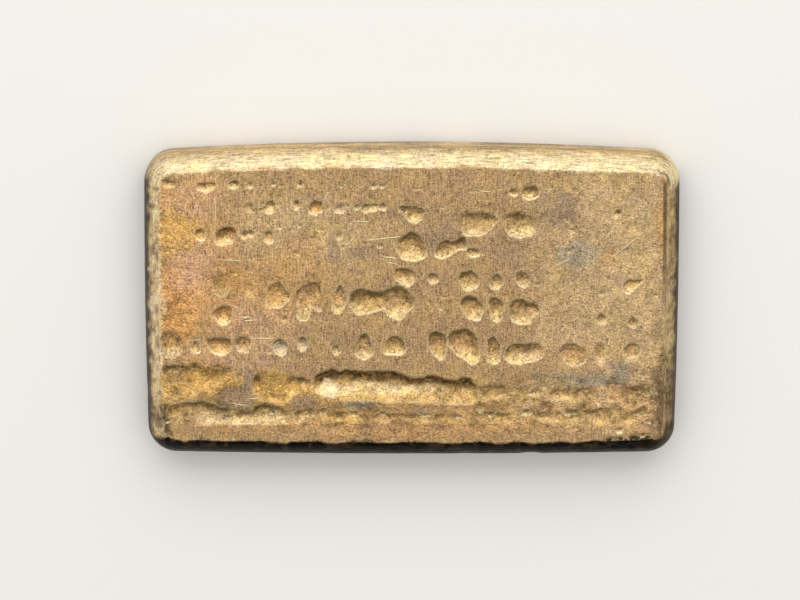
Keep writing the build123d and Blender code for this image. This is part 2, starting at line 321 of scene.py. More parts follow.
LARGE_PITS = [  # a share for the depth, and the corners of the outline, in turn
    (0.9, [(-31.8, 18), (-30.5, 18.1), (-29.2, 18.3), (-29, 17.4), (-30, 16.7), (-31.7, 17)]),
    (1.1, [(-27.1, 18.1), (-26.2, 18.6), (-25.4, 18.1), (-25.6, 17.3), (-26.9, 17.3)]),
    (1.1, [(-24.4, 18), (-23.6, 18.5), (-23.4, 17.6), (-24, 17.2)]),
    (0.9, [(14.3, 17.1), (15.5, 17.3), (15.9, 16.5), (15, 16.1), (14.3, 16.5)]),
    (1.2, [(16.3, 17.2), (16.8, 17.7), (18.2, 17.6), (18.9, 16.8), (18.4, 15.7), (16.8, 15.6), (16.1, 16.3)]),
    (0.7, [(-24.8, 14.9), (-23.9, 15.3), (-23.4, 14.5), (-23.9, 13.6), (-24.8, 13.9)]),
    (0.7, [(-21.6, 15), (-21.2, 15.4), (-20.3, 15.4), (-20, 14.2), (-20.7, 13.4), (-21.9, 13.6)]),
    (0.9, [(-15.4, 14.6), (-14.6, 15.4), (-13.3, 15.2), (-13.2, 14), (-13.9, 13.2), (-15.2, 13.5)]),
    (0.7, [(-11.5, 14.6), (-10.9, 15.1), (-10, 15), (-9.8, 14), (-10.4, 13.4), (-11.4, 13.6)]),
    (0.7, [(-2.2, 14.5), (0, 14.6), (1.9, 14.2), (1.6, 12.9), (0.6, 11.8), (-0.5, 12.5), (-1.3, 13.5)]),
    (0.75, [(7.5, 13.6), (10.3, 13.9), (11.8, 13.5), (13, 12.4), (12.1, 11.4), (10.8, 10.3), (8.1, 9.9),
        (7.4, 11), (7.3, 12.4)]),
    (0.8, [(13.6, 12.4), (14.2, 13.7), (15.7, 13.8), (17.6, 13.2), (18.5, 12.2), (18.5, 10.8), (17.6, 9.8),
        (15.8, 9.9), (14, 10.3), (13.7, 11.4)]),
    (1.0, [(-32.1, 10.8), (-31.2, 11.2), (-30.6, 10.4), (-31, 9.2), (-31.9, 9.5)]),
    (1.2, [(-29.2, 10.7), (-28.4, 11.2), (-27.1, 11.5), (-26.2, 11.2), (-25.9, 10.2), (-26.6, 9.1),
        (-28, 8.5), (-29.3, 8.9)]),
    (1.2, [(-21.9, 10.4), (-21.3, 10.8), (-20.7, 10.5), (-20.6, 9.1), (-21.9, 9)]),
    (1.3, [(0.1, 10.9), (1.5, 9.8), (2, 8.5), (2.1, 7.1), (1.6, 6.4), (0, 6.3), (-1.6, 6.6), (-2, 7.6),
        (-2.2, 9), (-1.6, 10), (-0.8, 10.4)]),
    (1.4, [(4.1, 9), (5, 9.5), (5.9, 9.1), (6.4, 9.2), (7.3, 9.9), (7.9, 10), (8.3, 9.3), (8.4, 8.6),
        (7.9, 8), (7.2, 8.1), (6.4, 7.8), (5.6, 7), (4.5, 6.5), (3.5, 7), (3.6, 8.1)]),
    (1.0, [(8.4, 8.4), (9, 8.2), (10.1, 8), (10.1, 7), (9.2, 6.8), (8.4, 7.1)]),
    (1.1, [(-2.6, 5.1), (-1.2, 5.2), (0.3, 4.8), (0.8, 4.2), (0.3, 3.2), (-0.4, 2.3), (-1.3, 2.7),
        (-2.3, 3.2), (-2.5, 4.2)]),
    (1.0, [(7.1, 4.3), (7.8, 4.7), (8.8, 4.7), (9.7, 4.2), (10.2, 3.5), (9.9, 2.6), (9.3, 1.9), (8.5, 1.6),
        (7.6, 2.1), (7, 3)]),
    (0.8, [(11.8, 3.8), (12.4, 4.4), (13.1, 4.1), (13.7, 3.5), (13.5, 2.6), (12.8, 1.9), (12, 2),
        (11.6, 2.8)]),
    (0.7, [(15.4, 4.2), (16.1, 4.6), (17.1, 4.6), (17.5, 3.5), (17.3, 2.6), (16.8, 1.9), (16, 2.4),
        (15.4, 3.3)]),
    (1.0, [(31.4, 2.8), (32, 3.4), (32.9, 3.4), (34.6, 3.6), (33.6, 2.3), (32.6, 1.3), (31.6, 1.4)]),
    (1.1, [(-28.9, -1), (-28, -0.4), (-26.8, -0.9), (-26.6, -2), (-27, -3.2), (-28.2, -3.9), (-29.2, -3),
        (-30, -2)]),
    (0.5, [(-21.3, 2.4), (-19.8, 3.2), (-19.1, 2.6), (-18, 0.7), (-18.7, -0.3), (-19.8, -1.1),
        (-21.7, -0.8), (-21.6, 0.9)]),
    (0.55, [(-17.3, 1.5), (-15.9, 2.6), (-14.4, 3), (-13.6, 2.6), (-13.4, 0.4), (-13.3, -1.5),
        (-14.1, -1.5), (-15, -1), (-15.3, -2.7), (-16.1, -3.1), (-17, -2.7), (-17, -1.5), (-16.6, -0.9),
        (-17.3, -0.2)]),
    (0.8, [(-10.7, 2.8), (-9.9, 1.6), (-9.7, 0), (-10.2, -1.2), (-10.8, -2), (-11.7, -1.7), (-11.9, 0),
        (-11.7, 1.3)]),
    (1.0, [(-8.4, 1.9), (-7.2, 2), (-6.2, 1.8), (-4.4, 1.5), (-3.2, 2), (-2.4, 2.3), (-1.2, 2.1), (0, 1.3),
        (0.6, 0.4), (0.3, -0.6), (-0.6, -1.5), (-1.5, -2.7), (-2.5, -2.7), (-3.6, -2.3), (-3.8, -1.5),
        (-4.4, -1.1), (-5.3, -1.3), (-6.6, -2), (-7.7, -2.1), (-8.7, -1.4), (-9.4, -0.6), (-9.3, 0.8)]),
    (1.1, [(7.5, 0.3), (8.2, 0.9), (9.5, 0.8), (10.2, 0.1), (10.6, -0.8), (10.6, -2), (10.4, -2.8),
        (9.5, -2.8), (8.6, -2.5), (7.8, -1.7), (7.4, -0.8)]),
    (1.0, [(11.5, 0.3), (12.3, 0.7), (13.3, 0.2), (13.8, -0.8), (13.6, -2), (13.3, -3), (12.5, -3.1),
        (12, -2.4), (11.5, -1.3)]),
    (1.0, [(14.5, -0.4), (15.4, 0.4), (16.8, 0.4), (17.4, -0.2), (18.6, -0.3), (18.9, -0.8), (18.8, -1.7),
        (17.9, -2.4), (17.7, -3.6), (16.5, -3.5), (15.2, -3.2), (14.6, -2)]),
    (0.6, [(-37.5, -4.9), (-36.6, -4.5), (-35.5, -4.8), (-34.2, -5.8), (-34.1, -7.3), (-34.8, -8.6),
        (-36.6, -8.9), (-37.6, -7.7)]),
    (0.9, [(-32.2, -5.4), (-31.7, -6.8), (-31.5, -8), (-33.1, -8), (-32.9, -6.6)]),
    (1.2, [(-30.5, -5.6), (-27.2, -5.6), (-26.8, -6.6), (-27.1, -7.5), (-28.2, -8.4), (-29.5, -8),
        (-30.4, -7)]),
    (0.6, [(-26.3, -5.6), (-24.2, -5.4), (-24, -7.9), (-25.8, -7.9), (-26.3, -6.8)]),
    (0.9, [(-20.7, -6.1), (-19.8, -5.6), (-18.7, -6.3), (-18.4, -7.3), (-19.2, -8.5), (-20.2, -8.2),
        (-20.8, -7)]),
    (0.9, [(-17.1, -5.8), (-16.2, -5.2), (-15.3, -6.3), (-15.8, -7.4), (-16.8, -7.8), (-17.3, -6.5)]),
    (0.9, [(-12.1, -7.2), (-11.2, -6.5), (-10.7, -7.4), (-10.9, -8.2), (-11.6, -8.3)]),
    (0.9, [(-7.7, -5.4), (-7, -4.8), (-6.5, -5.4), (-6.2, -6.3), (-5.6, -7), (-5.7, -8.3), (-6.4, -8.6),
        (-7.1, -9.2), (-8, -8.7), (-8.4, -8.1), (-8.4, -6.7)]),
    (1.2, [(-3.7, -5.8), (-3, -5.4), (-1.8, -5.4), (-1.2, -6.1), (-0.9, -7), (-1, -8.2), (-2.5, -8.1),
        (-4.1, -8.1), (-4.2, -7)]),
    (1.1, [(3, -4.7), (3.8, -4.6), (4.9, -5), (5.3, -6), (5.2, -7.6), (4.9, -8.6), (4.3, -9.3), (3.7, -8.6),
        (3, -7.6), (2.5, -6.5), (2.6, -5.4)]),
    (1.25, [(5.4, -5.2), (6.5, -4.4), (7.9, -4.1), (9.1, -4.5), (9.7, -5.4), (10, -6.5), (10.2, -7.8),
        (10.2, -9.2), (9.4, -9.8), (8.1, -9.2), (7.2, -8.4), (6.1, -7.6), (5.5, -6.7)]),
    (0.9, [(11.5, -5.6), (12.1, -5.4), (12.8, -5.8), (13.3, -7), (13.3, -8.5), (13, -9.7), (11.8, -9.7),
        (11.3, -8.5), (11.2, -7)]),
    (1.0, [(14, -7.4), (14.9, -6.7), (16.1, -6.5), (17.1, -6.6), (17.9, -6.1), (18.8, -6.4), (20, -7.4),
        (19.9, -8.5), (18.8, -9.2), (17.7, -9.4), (16.5, -9.7), (14.9, -9.6), (13.9, -8.8)]),
    (0.5, [(22, -7.6), (22.8, -6.6), (24.2, -6.4), (25.6, -6.9), (26.3, -8.2), (26, -9.6), (24.4, -10.2),
        (22.8, -9.4)]),
    (0.55, [(27.5, -6.4), (28.7, -6.1), (29.2, -8.2), (28.8, -9.9), (27.7, -9.8), (27.3, -8.3)]),
    (0.55, [(31.8, -7.0), (32.6, -6.4), (33.8, -6.6), (34.2, -8), (33.5, -9.4), (32, -9.4), (31.6, -8.4)]),
]
print(sum(len(row) for row in SMALL_PITS.values()), "small pits and", len(LARGE_PITS), "large ones")

# %% [markdown]
# ## The cooling troughs
# Below the sixth row the ripples were longer, and the press left whole troughs between them. A trough has a
# wavy upper edge, a steep wall under it, and a long slope back up to its lower edge. It is drawn by its two
# edges: from one to the other the depth rises fast and falls slowly.

# %% The troughs
TROUGHS = {
    "left trough": (
        [(-38, -9.7), (-36, -9.8), (-34, -9.9), (-31.5, -10.0), (-29, -9.7), (-27, -10.3), (-25.2, -10.8)],
        [(-38, -15.2), (-33, -15.0), (-30, -14.4), (-28, -13.4), (-25.2, -13.0)],
        0.36,
    ),
    "round-ended trough": (
        [(-24.1, -12.4), (-23.6, -11.4), (-22.8, -10.9), (-20, -11.0), (-18, -11.5), (-16, -11.9),
         (-14.6, -12.0)],
        [(-24.1, -13.4), (-23, -15.4), (-21, -16.0), (-19, -15.8), (-18, -14.8), (-16, -14.0),
         (-14.6, -14.4)],
        0.6,
    ),
    "long trough": (
        [(-15, -11.8), (-13.5, -10.7), (-12, -10.2), (-10.8, -10.9), (-10, -10.5), (-5, -10.7),
         (-2.5, -10.9), (-1, -11.4), (0.5, -11.9), (1.8, -11.9), (2.5, -11.4), (3.8, -11.5), (5, -12.2),
         (7, -12.3), (7.5, -11.7), (8.9, -11.9), (9.8, -12.9), (11, -13.3)],
        [(-15, -14.2), (-13, -15.0), (-10, -15.6), (0, -15.9), (5, -16.2), (11, -16.0)],
        0.9,
    ),
    "faint trough on the right": (
        [(8.6, -13.0), (14, -12.8), (18, -12.9), (22, -13.2), (26, -13.2), (30, -13.0), (36, -13.3)],
        [(8.6, -15.6), (18, -15.9), (26, -16.1), (30, -16.0), (36, -16.0)],
        0.22,
    ),
    "second ripple, left": (
        [(-37, -16.0), (-34, -15.7), (-31, -15.6), (-28, -16.4), (-25, -16.9), (-22, -16.0), (-18, -16.9)],
        [(-37, -19.0), (-31, -19.4), (-25, -19.3), (-18, -19.2)],
        0.36,
    ),
    "second ripple, middle and right": (
        [(-18, -16.9), (-13, -16.7), (-11, -17.1), (-5, -17.2), (0, -17.5), (5, -17.5), (10, -17.1),
         (15, -16.8), (20, -16.8), (25, -16.7), (30, -16.4), (36, -16.2)],
        [(-18, -19.2), (-8, -19.1), (4, -19.1), (15, -19.4), (26, -19.3), (36, -19.4)],
        0.24,
    ),
}


FAR = 99.0  # more than any distance on the ingot, in millimetres


def bend(points, strength, spacing, seed):
    """Moves points of the face sideways by noise, so that edges drawn over them come out uneven."""
    shift = [rough_noise(points, spacing, seed + n * 10, 3) for n in range(2)]
    return points[:, :2] + strength * np.stack(shift, 1)


def soft_max(first, second, width):
    """The larger of two, rounded where they meet over a width, so that neighbours run together."""
    mix = np.clip(0.5 + (first - second) / (2 * width), 0, 1)
    return second + (first - second) * mix + width * mix * (1 - mix)


def within_outline(x, y, corners):
    """How far points lie inside a closed outline of straight lines; negative outside it."""
    nearest, odd = np.full(len(x), FAR), np.zeros(len(x), bool)
    for (ax, ay), (bx, by) in zip(corners, corners[1:] + corners[:1]):
        dx, dy = bx - ax, by - ay
        share = np.clip(((x - ax) * dx + (y - ay) * dy) / (dx**2 + dy**2), 0, 1)
        nearest = np.minimum(nearest, np.hypot(x - ax - share * dx, y - ay - share * dy))
        if dy:
            odd ^= ((ay > y) != (by > y)) & (x < ax + dx * (y - ay) / dy)
    return np.where(odd, nearest, -nearest)


def rounded(corners):
    """A closed outline with its corners cut off a quarter along each side."""
    points = np.array(corners, float)
    following = np.roll(points, -1, 0)
    cut = [0.75 * points + 0.25 * following, 0.25 * points + 0.75 * following]
    return np.stack(cut, 1).reshape(-1, 2).tolist()


WIDER = 0.03  # how far a large pit reaches beyond its rounded outline


def each_pit(x, y):
    """For each pit: how far inside it points are, how far up in it, its half width and its depth share."""
    for px, py, length, height, share, *turn in sum(SMALL_PITS.values(), []):
        angle = math.radians(sum(turn))
        c, s = math.cos(angle), math.sin(angle)
        across = ((x - px) * c + (y - py) * s) / (length / 2)
        up = ((y - py) * c - (x - px) * s) / (height / 2)
        radius = min(length, height) / 2
        yield (1 - np.hypot(across, up)) * radius, up, radius, share
    for share, corners in LARGE_PITS:
        low, high = np.min(corners, axis=0), np.max(corners, axis=0)
        up = (y - (low[1] + high[1]) / 2) / ((high[1] - low[1]) / 2)
        yield within_outline(x, y, rounded(corners)) + WIDER, up, min(high - low) / 2, share


SHALLOWEST, DEPTH_PER_RADIUS, DEEPEST = 0.14, 0.26, 0.68  # of the pits whose depth share is 1
STEEPER_ABOVE, FLAT_FLOOR = 0.35, 2.3  # how the upper wall gains, and a power: higher for a flatter floor


def pit_depth(points):
    """How far inside a pit's edge points lie, the depth there, how far up they are, its depth and radius."""
    x, y = (bend(points, 0.20, 1.4, 11) - TABLE_ZERO).T
    within, weights, sums = np.full(len(points), -2.0), 1e-9, np.zeros((3, len(points)))
    for reach, up, radius, share in each_pit(x, y):
        within = soft_max(within, reach, min(0.25, 0.3 * radius))
        weight = np.exp(5 * np.clip(reach, -3, 3))
        weights = weights + weight
        full = share * min(SHALLOWEST + DEPTH_PER_RADIUS * radius, DEEPEST)
        sums += weight * np.stack([np.full(len(x), full), np.clip(up, -1, 1), np.full(len(x), radius)])
    full, up, radius = sums / weights
    within += (0.05 + 0.06 * radius) * rough_noise(points, 0.9, 21, 2)
    share = np.clip(within * (1 + STEEPER_ABOVE * up) / radius, -1, 1)
    return within, full * np.where(share > 0, 1 - (1 - share) ** FLAT_FLOOR, share), up, full, radius


END_SLOPE, LONG_SLOPE = 1.6, 3.0  # length of the ends of a trough, and of the deep trough's right end
DEEP = 0.8  # a trough deeper than this is even along its length


def trough_depth(points):
    """How deep the troughs are at points, how far up in them the points are, and how deep they get."""
    x, y = (bend(points, 0.30, 2.6, 31) - TABLE_ZERO).T
    depth, up, deepest = np.full(len(x), -1.0), np.zeros(len(x)), np.zeros(len(x))
    patchy = 0.25 + 1.5 * smooth_step(rough_noise(points, 2.2, 41, 2), -0.45, 0.5)
    for upper, lower, full in TROUGHS.values():
        top, bottom = np.interp(x, *np.transpose(upper)), np.interp(x, *np.transpose(lower))
        share = np.clip((top - y) / (top - bottom), 0, 1)
        left, right = upper[0][0], upper[-1][0]
        slope = LONG_SLOPE if full > DEEP else END_SLOPE
        ends = smooth_step(x, left - 0.2, left + END_SLOPE) * smooth_step(-x, -right - 0.2, slope - right)
        profile = 3.66 * share**0.75 * (1 - share) ** 1.2  # 1 at its deepest
        here = full * ends * profile * (patchy if full < DEEP else 1.0)
        here[(share <= 0) | (share >= 1) | (ends <= 0)] = -1
        up, deepest = np.where(here > depth, (1 - 2 * share, np.full(len(x), full)), (up, deepest))
        depth = np.maximum(depth, here)
    return depth, up, deepest


within_pit, pits, up_in_pit, pit_full, pit_radius = pit_depth(face_3d)
troughs, up_in_trough, trough_full = trough_depth(face_3d)
print("deepest pit", pits.max().round(2), "mm, deepest trough", troughs.max().round(2), "mm")

# %% [markdown]
# ## Pressing the face
# The raw skin of the metal, with its hollows, is cut off at the press plane: each point takes the lower of
# the two. Near the border the skin is the round shoulder, and because it is uneven, the crease wanders a
# little. Inside the hollows the skin kept its cast grain, so small lumps are added there and nowhere else.

# %% Heights of the face
DENTS = [  # x, y, z of the middle, radius and depth, in millimetres: knocks on the shoulder and the corners
    (36.6, 20.4, 8.0, 1.1, 0.20), (37.9, 18.6, 7.7, 1.0, 0.14), (35.4, -21.2, 7.9, 1.3, 0.28),
    (33.2, -21.6, 7.8, 0.9, 0.20), (37.6, -19.0, 7.8, 1.2, 0.20), (30.6, -21.8, 7.8, 0.8, 0.18),
    (-37.9, -19.6, 7.8, 1.6, 0.24), (-38.6, -8.0, 7.4, 1.4, 0.12), (-38.4, 3.5, 7.5, 1.0, 0.10),
    (-12.0, -22.6, 7.3, 1.6, 0.14), (8.0, -22.8, 7.0, 2.4, 0.16), (-1.0, 22.9, 7.1, 2.2, 0.10),
    (4.5, 23.4, 5.6, 1.6, 0.14), (-8.0, 23.5, 5.2, 1.4, 0.12), (39.2, -4.0, 6.0, 1.6, 0.10),
    (-39.3, -14.0, 5.6, 1.8, 0.14), (18.0, -23.2, 5.4, 2.0, 0.14), (39.0, 9.0, 6.6, 1.2, 0.10),
]


def dent_depth(points):
    """How far the knocks push the surface in, in millimetres."""
    depth = np.zeros(len(points))
    for x, y, z, radius, full in DENTS:
        away = np.linalg.norm(points - (x, y, z), axis=1) / radius
        depth = np.maximum(depth, full * smooth_step(1 - away, 0, 0.8))
    return depth


def skin_lumps(points):
    """The slow unevenness of the poured skin, from -1 to 1."""
    return rough_noise(points, 3.4, 51, 3)


def crease_lumps(points):
    """The finer unevenness of the skin where the press met the shoulder, in millimetres up or down."""
    return 0.05 * skin_lumps(points) + 0.09 * rough_noise(points, 1.7, 56, 3)


LUMPY_PATCHES = [  # x, y, half length, half height, strength: where the press only just reached the skin
    (24, -15, 15, 3.4, 1.0), (2, -18.2, 40, 2.4, 0.8), (-32, -14, 7, 5, 0.8), (35.5, -6, 3, 18, 0.6),
    (-36.5, 2, 3, 18, 0.5), (10.5, 12.3, 4, 2.2, 0.7), (16, 12.2, 3, 2.2, 0.6), (28, 4, 12, 18, 0.35),
    (-14.3, 10, 2.2, 2.4, 0.7), (-28, 2, 4, 4.5, 0.5), (-23, 2, 3, 3.5, 0.4),
]


def share_of(points, patches, bending, seed):
    """The largest share that soft patches of the face give at points; their edges are bent by noise."""
    bent = bend(points, bending, 3.6, seed) - TABLE_ZERO
    most = np.zeros(len(points))
    for x, y, length, height, strength in patches:
        away = np.hypot((bent[:, 0] - x) / length, (bent[:, 1] - y) / height)
        most = np.maximum(most, strength * smooth_step(1.2 - away, 0, 0.5))
    return most


WHOLLY_IN = 0.12  # at this depth a point counts in full as one of a hollow
GRAIN, TROUGH_GRAIN, TROUGH_LUMPS = 0.05, 0.03, 0.05  # heights inside the hollows, and more in the troughs
LEFT_GRAIN, LEFT_LUMPS, WAVE = 0.07, 0.05, 0.008  # heights on the lumpy patches and on all of the land
FACE_DENTS = 0.8  # how much of a knock's depth the face takes
inset = inset_of(face_xy[:, 0], face_xy[:, 1])
in_shoulder = np.maximum(SHOULDER_RADIUS - inset, 0)
rounding = SHOULDER_RADIUS - np.sqrt(np.maximum(SHOULDER_RADIUS**2 - in_shoulder**2, 0))
skin = THICKNESS + PRESSED_AWAY - rounding + crease_lumps(face_3d)
hollow = np.maximum(pits, troughs)
inside = smooth_step(hollow, 0.0, WHOLLY_IN)
in_trough = smooth_step(troughs, 0.0, WHOLLY_IN)
grain_noise, lump_noise = rough_noise(face_3d, 0.9, 61, 2), rough_noise(face_3d, 2.2, 66, 2)
cast_grain = (GRAIN + TROUGH_GRAIN * in_trough) * grain_noise + TROUGH_LUMPS * in_trough * lump_noise
lumpy = share_of(face_3d, LUMPY_PATCHES, 1.2, 76)
left_lumps = lumpy * (LEFT_GRAIN * (1 - grain_noise) + LEFT_LUMPS * (1 - lump_noise))
land_wave = WAVE * (1 + rough_noise(face_3d, 8.0, 71, 2)) + left_lumps
hollowed = THICKNESS - np.maximum(hollow + inside * cast_grain, 0)
face_z = np.minimum(THICKNESS - land_wave, np.minimum(skin, hollowed))
face_z -= dent_depth(face_3d) * FACE_DENTS
print("face height", face_z.min().round(2), "to", face_z.max().round(3), "mm")

# %% [markdown]
# ## One closed mesh
# The face, the rows under it and the mould face share one mesh, so that the tone can run over the crease.
# The mould face needs far fewer cells: a ring of six-sided cells takes three points of the fine border to
# one of the coarse.

# %% Points of the rim and the mould face
rim_points = []
for row_inset, height, turn in ROWS_UNDER:
    xy = wall_points - wall_out * row_inset
    base = np.column_stack([xy, np.full(AROUND, height)])
    normal = np.column_stack([wall_out * math.sin(turn), np.full(AROUND, math.cos(turn))])
    away = smooth_step(turn, crease_turn, crease_turn + math.radians(25))
    push = (1 - away) * crease_lumps(base) - away * 0.03 * (1 - skin_lumps(base)) - dent_depth(base)
    points = base + normal * push[:, None]
    points[:, 2] = np.clip(points[:, 2], 0, THICKNESS)
    rim_points.append(points)
rim_points = np.concatenate(rim_points)

coarse_border = (wall_points - wall_out * (ROWS_UNDER[-1][0] + RING_WIDTH))[::3]
coarse_columns, coarse_rows = COLUMNS // 3, ROWS // 3
coarse_shares = (np.linspace(-1, 1, count + 1) for count in (coarse_columns, coarse_rows))
mould_grid = patch_grid(coarse_border, *coarse_shares).reshape(-1, 2)
mould_3d = np.column_stack([mould_grid, np.zeros(len(mould_grid))])
gas_marks = 0.12 * smooth_step(rough_noise(mould_3d, 5.0, 81, 2), 0.45, 0.7)
mould_3d[:, 2] = 0.03 * (1 - skin_lumps(mould_3d)) + gas_marks
print("rim", len(rim_points), "points, mould face", len(mould_3d), "points")

# %% Faces
def grid_faces(first, columns, rows, flip=False):
    """The cells of a grid whose points start at index first."""
    start = (first + np.arange(rows)[:, None] * (columns + 1) + np.arange(columns)).ravel()
    cells = np.stack([start, start + 1, start + columns + 2, start + columns + 1], 1)
    return cells[:, ::-1] if flip else cells


def band_faces(upper, lower):
    """The cells between two closed loops of the same length, seen from outside."""
    return np.stack([upper, lower, np.roll(lower, -1), np.roll(upper, -1)], 1)


FACE_COUNT, RIM_COUNT = len(face_xy), len(rim_points)
border_index = border_of(COLUMNS, ROWS)
loops = [border_index] + [FACE_COUNT + n * AROUND + np.arange(AROUND) for n in range(len(ROWS_UNDER))]
bands = np.concatenate([band_faces(upper, lower) for upper, lower in zip(loops, loops[1:])])
mould_first = FACE_COUNT + RIM_COUNT
coarse_index = mould_first + border_of(coarse_columns, coarse_rows)
outer = loops[-1]
ring = [
    [outer[(3 * n + 3) % AROUND], outer[3 * n + 2], outer[3 * n + 1], outer[3 * n], coarse_index[n],
     coarse_index[(n + 1) % len(coarse_index)]]
    for n in range(len(coarse_index))
]
quads = np.concatenate([
    grid_faces(0, COLUMNS, ROWS), bands, grid_faces(mould_first, coarse_columns, coarse_rows, flip=True),
])
all_points = np.concatenate([np.column_stack([face_xy, face_z]), rim_points, mould_3d])
all_faces = quads.tolist() + [[int(i) for i in cell] for cell in ring]
print("mesh", len(all_points), "points,", 2 * len(quads) + 4 * len(ring), "triangles")

# %% [markdown]
# ## Toning
# Old cast metal carries a skin of tarnish whose colour depends on its thickness: straw and gold where it is
# thin, then orange, pink, purple-grey, and at last nearly black. The press and years of handling rubbed the
# high land to a dull khaki, while the hollows kept their gold. The colours are painted in soft patches
# whose edges are bent by noise, and stored on the mesh's points, so that the patches follow the shape. A
# texture node could not know where the pits are.

# %% Colours
def linear(text):
    """Turns an sRGB hex colour to the linear values that a renderer works in."""
    parts = [int(text[n : n + 2], 16) / 255 for n in (1, 3, 5)]
    return np.array([p / 12.92 if p <= 0.04045 else ((p + 0.055) / 1.055) ** 2.4 for p in parts])


TONES = {
    "khaki": "#B5956A", "warm brown": "#C4975F", "orange": "#DEA768", "pink": "#D8AC84", "gold": "#D5AA64",
    "straw": "#EBD7A8", "deep straw": "#DAC59A", "pale khaki": "#CFB384", "bright gold": "#DDBA74",
    "gold brown": "#C0A070", "purple grey": "#97806B", "blue grey": "#9C947F", "olive": "#8C784C",
    "brown": "#5A452D", "dark brown": "#42331F", "dark grey": "#433B2F", "black brown": "#130F0A",
    "pale silver": "#E2D8C4", "rose gold": "#D2A676", "fawn": "#C6AC7E", "wiped and highlit gold": "#ECCF95",
    "umber": "#4A3A22", "warm cream": "#EDD0A4",
}
LAND_PATCHES = [  # x, y, half length, half height, tone, strength; measured as the pits are
    (31, 2, 15, 26, "pale khaki", 0.6), (-18, 9.5, 14, 6.5, "pale khaki", 0.5),
    (-32, 4, 8, 17, "warm brown", 0.6), (-35, -1, 5, 7, "orange", 0.8), (-32.5, 5.5, 4, 4.5, "pink", 0.8),
    (-32, 16, 6, 4, "pink", 0.5), (-37, 17.4, 2.6, 0.7, "orange", 0.6),
    (-37.6, 2, 0.7, 15, "warm cream", 0.6), (-35, 10.6, 4, 3.6, "gold", 0.85), (-24, -3, 9, 4, "pink", 0.4),
    (-20, 4, 9, 6, "warm brown", 0.5), (-28, -8.5, 9, 2.5, "pink", 0.4),
    (21.5, 14, 4, 3.5, "purple grey", 0.6), (13, 8, 4, 3, "purple grey", 0.35),
    (-7, 7.4, 3, 1.6, "purple grey", 0.6), (-11.5, 8.5, 1.2, 3, "purple grey", 0.5),
    (3, 11, 5, 5, "purple grey", 0.3), (25, 7.6, 3.5, 2, "blue grey", 0.6),
    (18, 7, 4, 3, "purple grey", 0.3), (26, -11.6, 4.6, 1.2, "blue grey", 0.8),
    (31, -10.5, 1.8, 2.2, "blue grey", 0.8), (30.5, -13.8, 2.4, 1.2, "pink", 0.8),
    (33.5, -17, 4, 4, "rose gold", 0.7), (28.8, 7.3, 1.4, 1.6, "orange", 0.4),
    (36.9, 13.5, 0.8, 8.0, "warm brown", 0.6), (-8, -18, 38, 3.6, "warm brown", 0.5),
    # The black brown along the lower right edge is painted shade
    (34.5, -22.3, 6.0, 1.6, "black brown", 0.95), (37.3, -15, 0.8, 8, "brown", 0.5),
    (26, -9, 8, 3, "rose gold", 0.3), (-32, -12.5, 8, 3, "gold", 0.7), (-20, -13.6, 5, 2.8, "gold", 0.75),
    (-2, -13.6, 14, 2.6, "gold", 0.5), (-26, -15, 2.8, 2.2, "purple grey", 0.7),
    (-24.4, -11.8, 1.0, 2.2, "purple grey", 0.8), (-16.6, -15.5, 2.0, 1.6, "purple grey", 0.7),
    (-7.8, -16.3, 3.6, 0.8, "blue grey", 0.9), (0.9, -17, 1.2, 0.5, "blue grey", 0.8),
    # The dark grey at the lower left corner is painted shade
    (-19, -20.4, 8, 1.0, "khaki", 0.7), (-37.6, -19, 2.0, 3.4, "dark grey", 0.8),
    # The umber and olive strips below lie on upper trough walls: dirt with painted shade
    (35.0, -14.6, 3.2, 1.8, "dark brown", 0.6), (-36.2, -9.9, 1.6, 0.5, "umber", 0.6),
    (-32.8, -10.3, 1.0, 0.5, "umber", 0.7), (-29.6, -10.2, 1.4, 0.6, "umber", 0.8),
    (-26.4, -10.9, 0.9, 0.5, "umber", 0.6), (-21.8, -11.4, 1.8, 0.5, "umber", 0.6),
    (-18.4, -11.9, 1.0, 0.5, "umber", 0.6), (-31, -16.3, 4.2, 0.8, "olive", 0.8),
    (-22, -16.8, 3.4, 0.6, "olive", 0.7), (-33.5, -17.6, 2.0, 0.5, "umber", 0.4),
    (-28.6, -17.9, 1.8, 0.5, "umber", 0.4),
]
HOLLOW_PATCHES = [  # the same, painted only inside the hollows
    (0, 0, 60, 60, "bright gold", 0.4), (-29, 3, 11, 12, "orange", 0.5), (-14, 1, 6, 5, "rose gold", 0.6),
    (-14.2, 14.2, 1.4, 1.0, "orange", 0.7), (-28.6, 10.4, 1.2, 1.4, "olive", 0.8),
    (-26.6, 10.2, 1.0, 1.4, "orange", 0.8), (-29, 2.5, 1.6, 2.4, "olive", 0.5),
    (-19.6, -7, 1.8, 1.8, "pale silver", 0.6), (-16.4, -6.8, 1.4, 1.4, "pale silver", 0.5),
    (-10.9, 14.1, 1.2, 1.2, "pale silver", 0.3), (26, -5, 12, 10, "rose gold", 0.4),
    (8, -7, 6, 4, "rose gold", 0.4), (-12.5, -13.6, 1.8, 1.4, "pale silver", 0.5),
    # Straw in the long trough and along the second ripple: painted highlight on slopes facing the lamp
    (-4, -13.5, 10, 1.1, "straw", 0.5), (-31, -12.6, 7, 3, "gold", 0.8), (-20, -13.4, 4, 2.4, "gold", 0.8),
    (-26, -18.9, 12, 1.8, "straw", 0.45), (3.2, 3.4, 1, 1, "rose gold", 0.6),
]


def mixed(colour, tone, share):
    """Colours with a share of a tone mixed into each."""
    return colour + share[:, None] * (linear(TONES[tone]) - colour)


